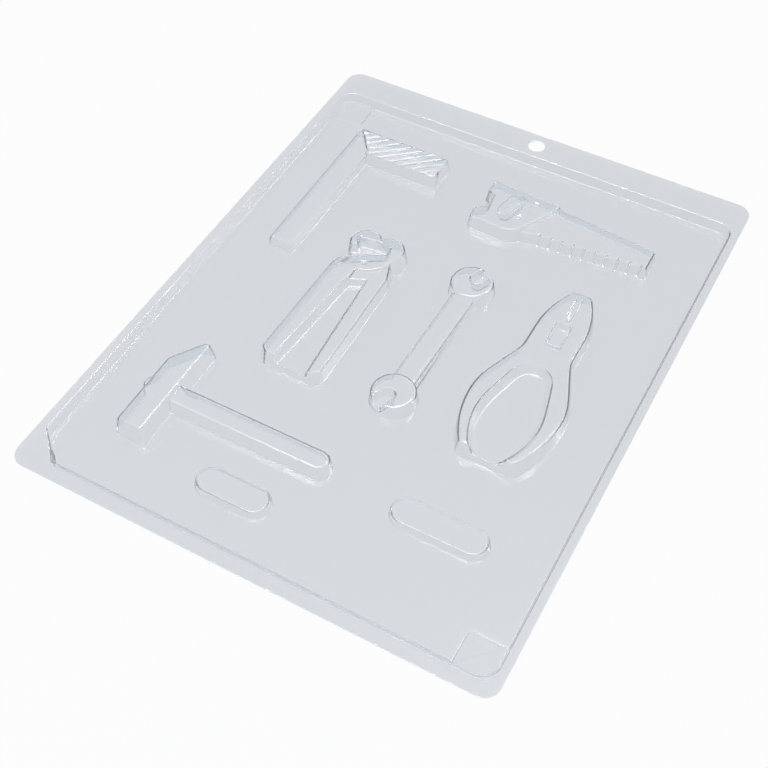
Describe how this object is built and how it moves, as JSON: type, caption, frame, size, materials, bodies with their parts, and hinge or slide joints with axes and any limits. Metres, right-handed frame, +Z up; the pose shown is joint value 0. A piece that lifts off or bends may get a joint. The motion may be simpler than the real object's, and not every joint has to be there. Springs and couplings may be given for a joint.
{
  "type": "chocolate mould sheet",
  "caption": "Clear thermoformed chocolate mould sheet with hand-tool shaped cavities standing up from a sunk panel inside a raised flange with a hanging hole.",
  "frame": {"origin": "centre of the sheet's outline, on the underside of the sunk panel", "axes": "+Z up, the side that the cavities stand up on; +Y towards the edge with the hanging hole; +X to the right along the front edge"},
  "size_m": [0.185, 0.24, 0.0087],
  "materials": {
    "clear_sheet": "clear glossy thermoformed plastic"
  },
  "bodies": {
    "root": {"mould_sheet": "clear_sheet"}
  },
  "joints": []
}
